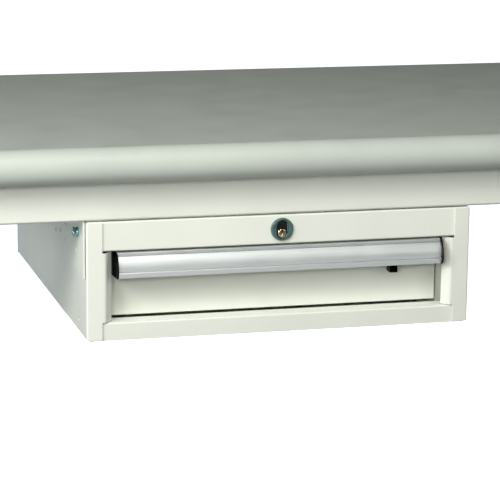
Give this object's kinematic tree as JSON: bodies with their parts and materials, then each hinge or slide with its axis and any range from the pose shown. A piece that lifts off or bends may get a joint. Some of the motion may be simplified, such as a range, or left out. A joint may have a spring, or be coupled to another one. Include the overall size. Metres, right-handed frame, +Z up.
{
  "type": "workbench with drawer",
  "caption": "Steel-framed workbench with a bullnosed laminate top and a lockable drawer unit hung under its front edge.",
  "frame": {"origin": "on the floor under the middle of the bench's bounding box", "axes": "+X to the right along the bench, +Y from its front to its back, +Z up"},
  "size_m": [1.5, 0.75, 0.85],
  "materials": {
    "cream_paint": "fine satin powder coat",
    "laminate": "grey-green pressed laminate, faint orange peel",
    "chipboard": "raw board, hidden",
    "zinc_steel": "bright zinc plate with a blue passivation",
    "aluminium": "satin anodised extrusion",
    "cover_strip": "silver-grey label cover strip",
    "black_plastic": "moulded black plastic",
    "rosette_plastic": "grey-teal moulded ring",
    "nickel": "nickel plated lock",
    "rubber": "dark foot pad"
  },
  "bodies": {
    "bench": {"worktop_core": "chipboard", "worktop_laminate": "laminate", "worktop_backing_sheet": "laminate", "worktop_edge_band_left": "laminate", "worktop_edge_band_right": "laminate", "worktop_edge_band_rear": "laminate", "front_beam": "cream_paint", "rear_beam": "cream_paint", "end_rail_left": "cream_paint", "end_rail_right": "cream_paint", "foot_rail_left": "cream_paint", "foot_rail_right": "cream_paint", "leg_front_left": "cream_paint", "leg_front_right": "cream_paint", "leg_rear_left": "cream_paint", "leg_rear_right": "cream_paint", "housing_side_left": "cream_paint", "housing_side_right": "cream_paint", "runner_wall_left": "cream_paint", "runner_wall_right": "cream_paint", "hanger_bracket_front_left": "cream_paint", "hanger_bracket_front_right": "cream_paint", "hanger_bracket_rear_left": "cream_paint", "hanger_bracket_rear_right": "cream_paint", "hanger_bolt_left": "zinc_steel", "hanger_bolt_right": "zinc_steel", "runner_cabinet_member_left": "zinc_steel", "runner_cabinet_member_right": "zinc_steel", "front_rail_top": "cream_paint", "front_rail_bottom": "cream_paint", "housing_floor": "cream_paint", "housing_top": "cream_paint", "housing_back": "cream_paint", "lock_rosette": "rosette_plastic", "lock_barrel": "nickel", "lock_nut": "zinc_steel"},
    "drawer": {"drawer_front_panel": "cream_paint", "drawer_bottom": "cream_paint", "drawer_back": "cream_paint", "drawer_side_left": "cream_paint", "drawer_side_right": "cream_paint", "handle_profile": "aluminium", "handle_label_strip": "cover_strip", "handle_end_cap_left": "black_plastic", "handle_end_cap_right": "black_plastic", "runner_drawer_member_left": "zinc_steel", "runner_drawer_member_right": "zinc_steel"},
    "runner_middle_left": {"runner_middle_member_left": "zinc_steel"},
    "runner_middle_right": {"runner_middle_member_right": "zinc_steel"},
    "catch": {"catch_lever": "black_plastic"},
    "lock_cylinder": {"lock_plug": "nickel", "lock_tongue": "zinc_steel"},
    "foot_front_left": {"foot_pad_front_left": "rubber", "foot_screw_front_left": "zinc_steel"},
    "foot_front_right": {"foot_pad_front_right": "rubber", "foot_screw_front_right": "zinc_steel"},
    "foot_rear_left": {"foot_pad_rear_left": "rubber", "foot_screw_rear_left": "zinc_steel"},
    "foot_rear_right": {"foot_pad_rear_right": "rubber", "foot_screw_rear_right": "zinc_steel"}
  },
  "joints": [
    {"name": "drawer_slide", "type": "slide", "parent": "bench", "child": "drawer", "axis": [0, -1, 0], "range_m": [0, 0.46]},
    {"name": "runner_middle_left_slide", "type": "slide", "parent": "bench", "child": "runner_middle_left", "axis": [0, -1, 0], "range_m": [0, 0.23]},
    {"name": "runner_middle_right_slide", "type": "slide", "parent": "bench", "child": "runner_middle_right", "axis": [0, -1, 0], "range_m": [0, 0.23]},
    {"name": "catch_press", "type": "slide", "parent": "drawer", "child": "catch", "axis": [0, 0, 1], "range_m": [0, 0.004], "stiffness_N_per_m": 300, "springref_m": -0.002},
    {"name": "lock_turn", "type": "hinge", "parent": "bench", "child": "lock_cylinder", "pos_m": [0, -0.3165, 0.714], "axis": [0, 1, 0], "range_deg": [0, 90]},
    {"name": "foot_front_left_screw", "type": "slide", "parent": "bench", "child": "foot_front_left", "axis": [0, 0, 1], "range_m": [-0.025, 0]},
    {"name": "foot_front_right_screw", "type": "slide", "parent": "bench", "child": "foot_front_right", "axis": [0, 0, 1], "range_m": [-0.025, 0]},
    {"name": "foot_rear_left_screw", "type": "slide", "parent": "bench", "child": "foot_rear_left", "axis": [0, 0, 1], "range_m": [-0.025, 0]},
    {"name": "foot_rear_right_screw", "type": "slide", "parent": "bench", "child": "foot_rear_right", "axis": [0, 0, 1], "range_m": [-0.025, 0]}
  ],
  "couplings": [
    {"joint": "runner_middle_left_slide", "follows": "drawer_slide", "ratio": 0.5},
    {"joint": "runner_middle_right_slide", "follows": "drawer_slide", "ratio": 0.5}
  ]
}
